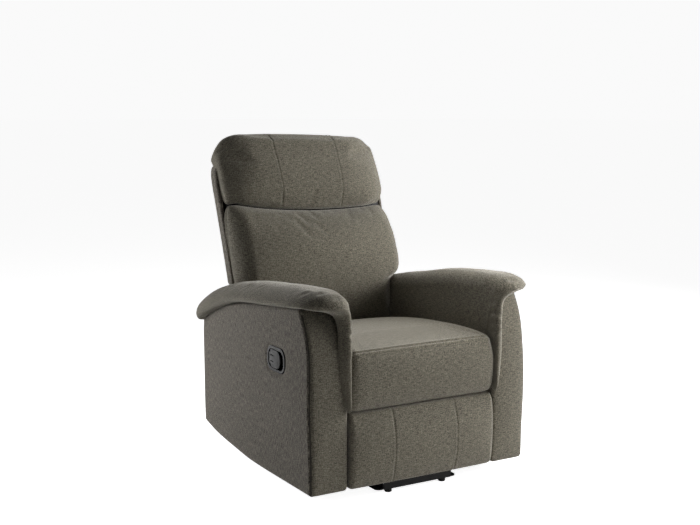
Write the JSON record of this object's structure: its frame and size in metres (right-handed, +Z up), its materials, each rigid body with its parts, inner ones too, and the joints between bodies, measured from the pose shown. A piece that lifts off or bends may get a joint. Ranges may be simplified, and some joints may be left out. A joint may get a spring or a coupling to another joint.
{
  "type": "recliner armchair",
  "caption": "Upholstered recliner armchair with pillow arm pads, a reclining back on a sliding seat, a linkage footrest and a recessed side release handle.",
  "frame": {"origin": "middle of the footprint box, on the floor", "axes": "+Z up, -Y the way the sitter faces, +X towards the sitter's left"},
  "size_m": [0.79, 0.8727, 1.0197],
  "materials": {
    "upholstery": "woven grey-taupe tweed",
    "side_fabric": "woven grey-taupe tweed, vertical grain",
    "plywood": "raw birch plywood",
    "black_steel": "satin black powder coat",
    "link_steel": "black oxide steel",
    "zinc_hardware": "zinc plated",
    "spring_steel": "oiled spring steel",
    "bezel_plastic": "moulded, fine texture",
    "paddle_plastic": "moulded, satin",
    "glide_plastic": "moulded",
    "roller_plastic": "natural nylon",
    "cable_sheath": "extruded sheath"
  },
  "bodies": {
    "base": {"floor_glides": "glide_plastic", "base_rail_left": "black_steel", "base_rail_right": "black_steel", "base_front_plate": "black_steel", "base_rear_bar": "black_steel", "cross_tubes": "black_steel", "side_plate_left": "black_steel", "side_plate_right": "black_steel", "arm_mount_spacers": "zinc_hardware", "arm_mount_bolts": "zinc_hardware", "arm_frame_left": "plywood", "arm_frame_right": "plywood", "arm_outer_panel_left": "side_fabric", "arm_outer_panel_right": "side_fabric", "arm_front_panel_left": "upholstery", "arm_front_panel_right": "upholstery", "arm_inner_panel_left": "upholstery", "arm_inner_panel_right": "upholstery", "arm_pad_left": "upholstery", "arm_pad_right": "upholstery", "rear_valance": "side_fabric", "handle_bezel": "bezel_plastic", "paddle_hinge_pin": "zinc_hardware", "paddle_spring": "spring_steel", "release_cable": "cable_sheath"},
    "paddle": {"handle_paddle": "paddle_plastic"},
    "lever": {"release_lever": "link_steel"},
    "seat": {"seat_rail_front": "plywood", "seat_rail_rear": "plywood", "seat_rail_left": "plywood", "seat_rail_right": "plywood", "seat_plate_left": "link_steel", "seat_plate_right": "link_steel", "seat_rollers": "roller_plastic", "seat_pivot_pins": "zinc_hardware", "seat_plate_screws": "zinc_hardware", "seat_springs": "spring_steel", "spring_clips": "spring_steel", "seat_cushion": "upholstery"},
    "back": {"back_shell": "side_fabric", "back_board": "plywood", "back_bracket_left": "link_steel", "back_bracket_right": "link_steel", "back_bracket_screws": "zinc_hardware", "lumbar_cushion": "upholstery", "head_cushion": "upholstery"},
    "lower_links": {"lower_link_left": "link_steel", "lower_link_right": "link_steel", "torque_tube": "link_steel"},
    "upper_links": {"upper_link_left": "link_steel", "upper_link_right": "link_steel"},
    "tie_links": {"tie_link_left": "link_steel", "tie_link_right": "link_steel"},
    "control_rods": {"control_rod_left": "link_steel", "control_rod_right": "link_steel"},
    "footrest": {"footrest_board": "plywood", "footrest_pad": "upholstery", "footrest_bracket_left": "link_steel", "footrest_bracket_right": "link_steel", "footrest_screws": "zinc_hardware"}
  },
  "joints": [
    {"name": "back_recline", "type": "hinge", "parent": "seat", "child": "back", "pos_m": [0, 0.22577, 0.318], "axis": [-1, 0, 0], "range_deg": [0, 36]},
    {"name": "seat_slide", "type": "slide", "parent": "base", "child": "seat", "axis": [0, -0.9945, 0.1045], "range_m": [0, 0.035]},
    {"name": "footrest_lift", "type": "hinge", "parent": "seat", "child": "lower_links", "pos_m": [0, -0.30923, 0.2423], "axis": [-1, 0, 0], "range_deg": [0, 95.75]},
    {"name": "upper_link_pivot", "type": "hinge", "parent": "lower_links", "child": "upper_links", "pos_m": [0, -0.26547, 0.09267], "axis": [-1, 0, 0], "range_deg": [-118.64, 0]},
    {"name": "footrest_tilt", "type": "hinge", "parent": "upper_links", "child": "footrest", "pos_m": [0, -0.30138, 0.24797], "axis": [-1, 0, 0], "range_deg": [0, 108.1]},
    {"name": "tie_link_pivot", "type": "hinge", "parent": "seat", "child": "tie_links", "pos_m": [0, -0.26813, 0.249], "axis": [-1, 0, 0], "range_deg": [0, 94.03]},
    {"name": "control_rod_pivot", "type": "hinge", "parent": "lower_links", "child": "control_rods", "pos_m": [0, -0.27378, 0.06513], "axis": [-1, 0, 0], "range_deg": [-118.61, 0]},
    {"name": "paddle_pull", "type": "hinge", "parent": "base", "child": "paddle", "pos_m": [-0.368, -0.13823, 0.394], "axis": [0, 0, -1], "range_deg": [0, 35], "stiffness_Nm_per_rad": 0.5},
    {"name": "release_lever_swing", "type": "hinge", "parent": "base", "child": "lever", "pos_m": [-0.243, -0.04423, 0.15], "axis": [-1, 0, 0], "range_deg": [0, 12]}
  ],
  "couplings": [
    {"joint": "seat_slide", "follows": "back_recline", "m_per_rad": 0.055704},
    {"joint": "upper_link_pivot", "follows": "footrest_lift", "ratio": -1.239},
    {"joint": "footrest_tilt", "follows": "footrest_lift", "ratio": 1.129},
    {"joint": "tie_link_pivot", "follows": "footrest_lift", "ratio": 0.98204},
    {"joint": "control_rod_pivot", "follows": "footrest_lift", "ratio": -1.2387},
    {"joint": "release_lever_swing", "follows": "paddle_pull", "ratio": 0.34286}
  ]
}
